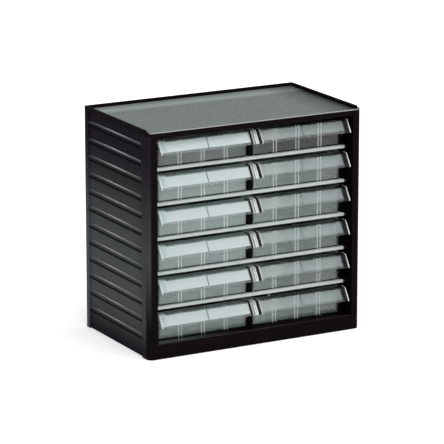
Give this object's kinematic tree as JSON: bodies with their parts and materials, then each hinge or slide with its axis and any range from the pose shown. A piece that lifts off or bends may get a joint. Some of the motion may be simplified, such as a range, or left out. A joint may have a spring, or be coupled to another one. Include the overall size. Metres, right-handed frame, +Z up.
{
  "type": "parts bin cabinet",
  "caption": "Small-parts cabinet: black ribbed casing with a tray top, steel shelves and two columns of clear hooded drawers that slide out.",
  "frame": {"origin": "middle of the casing's underside", "axes": "+X to the right along the longest side, +Y to the back, +Z up; the drawers open towards -Y"},
  "size_m": [0.31, 0.1833, 0.296],
  "materials": {
    "casing_moulding": "fine satin grain",
    "guide_moulding": "satin",
    "shelf_sheet": "light grey, smooth",
    "clear_plastic": "clear, glossy, slightly green",
    "label_card": "blank white card",
    "screw_steel": "zinc plated"
  },
  "bodies": {
    "casing": {"side_panel_left": "casing_moulding", "side_panel_right": "casing_moulding", "top_panel": "casing_moulding", "base_panel": "casing_moulding", "back_panel": "casing_moulding", "panel_screws": "screw_steel", "shelf_1": "shelf_sheet", "shelf_2": "shelf_sheet", "shelf_3": "shelf_sheet", "shelf_4": "shelf_sheet", "shelf_5": "shelf_sheet", "centre_guide_1": "guide_moulding", "centre_guide_2": "guide_moulding", "centre_guide_3": "guide_moulding", "centre_guide_4": "guide_moulding", "centre_guide_5": "guide_moulding", "centre_guide_6": "guide_moulding"},
    "drawer_body_1_left": {"drawer_1_left": "clear_plastic", "label_cards_1_left": "label_card"},
    "drawer_body_1_right": {"drawer_1_right": "clear_plastic", "label_cards_1_right": "label_card"},
    "drawer_body_2_left": {"drawer_2_left": "clear_plastic", "label_cards_2_left": "label_card"},
    "drawer_body_2_right": {"drawer_2_right": "clear_plastic", "label_cards_2_right": "label_card"},
    "drawer_body_3_left": {"drawer_3_left": "clear_plastic", "label_cards_3_left": "label_card"},
    "drawer_body_3_right": {"drawer_3_right": "clear_plastic", "label_cards_3_right": "label_card"},
    "drawer_body_4_left": {"drawer_4_left": "clear_plastic", "label_cards_4_left": "label_card"},
    "drawer_body_4_right": {"drawer_4_right": "clear_plastic", "label_cards_4_right": "label_card"},
    "drawer_body_5_left": {"drawer_5_left": "clear_plastic", "label_cards_5_left": "label_card"},
    "drawer_body_5_right": {"drawer_5_right": "clear_plastic", "label_cards_5_right": "label_card"},
    "drawer_body_6_left": {"drawer_6_left": "clear_plastic", "label_cards_6_left": "label_card"},
    "drawer_body_6_right": {"drawer_6_right": "clear_plastic", "label_cards_6_right": "label_card"}
  },
  "joints": [
    {"name": "slide_1_left", "type": "slide", "parent": "casing", "child": "drawer_body_1_left", "axis": [0, -1, 0], "range_m": [0, 0.13]},
    {"name": "slide_1_right", "type": "slide", "parent": "casing", "child": "drawer_body_1_right", "axis": [0, -1, 0], "range_m": [0, 0.13]},
    {"name": "slide_2_left", "type": "slide", "parent": "casing", "child": "drawer_body_2_left", "axis": [0, -1, 0], "range_m": [0, 0.13]},
    {"name": "slide_2_right", "type": "slide", "parent": "casing", "child": "drawer_body_2_right", "axis": [0, -1, 0], "range_m": [0, 0.13]},
    {"name": "slide_3_left", "type": "slide", "parent": "casing", "child": "drawer_body_3_left", "axis": [0, -1, 0], "range_m": [0, 0.13]},
    {"name": "slide_3_right", "type": "slide", "parent": "casing", "child": "drawer_body_3_right", "axis": [0, -1, 0], "range_m": [0, 0.13]},
    {"name": "slide_4_left", "type": "slide", "parent": "casing", "child": "drawer_body_4_left", "axis": [0, -1, 0], "range_m": [0, 0.13]},
    {"name": "slide_4_right", "type": "slide", "parent": "casing", "child": "drawer_body_4_right", "axis": [0, -1, 0], "range_m": [0, 0.13]},
    {"name": "slide_5_left", "type": "slide", "parent": "casing", "child": "drawer_body_5_left", "axis": [0, -1, 0], "range_m": [0, 0.13]},
    {"name": "slide_5_right", "type": "slide", "parent": "casing", "child": "drawer_body_5_right", "axis": [0, -1, 0], "range_m": [0, 0.13]},
    {"name": "slide_6_left", "type": "slide", "parent": "casing", "child": "drawer_body_6_left", "axis": [0, -1, 0], "range_m": [0, 0.13]},
    {"name": "slide_6_right", "type": "slide", "parent": "casing", "child": "drawer_body_6_right", "axis": [0, -1, 0], "range_m": [0, 0.13]}
  ]
}
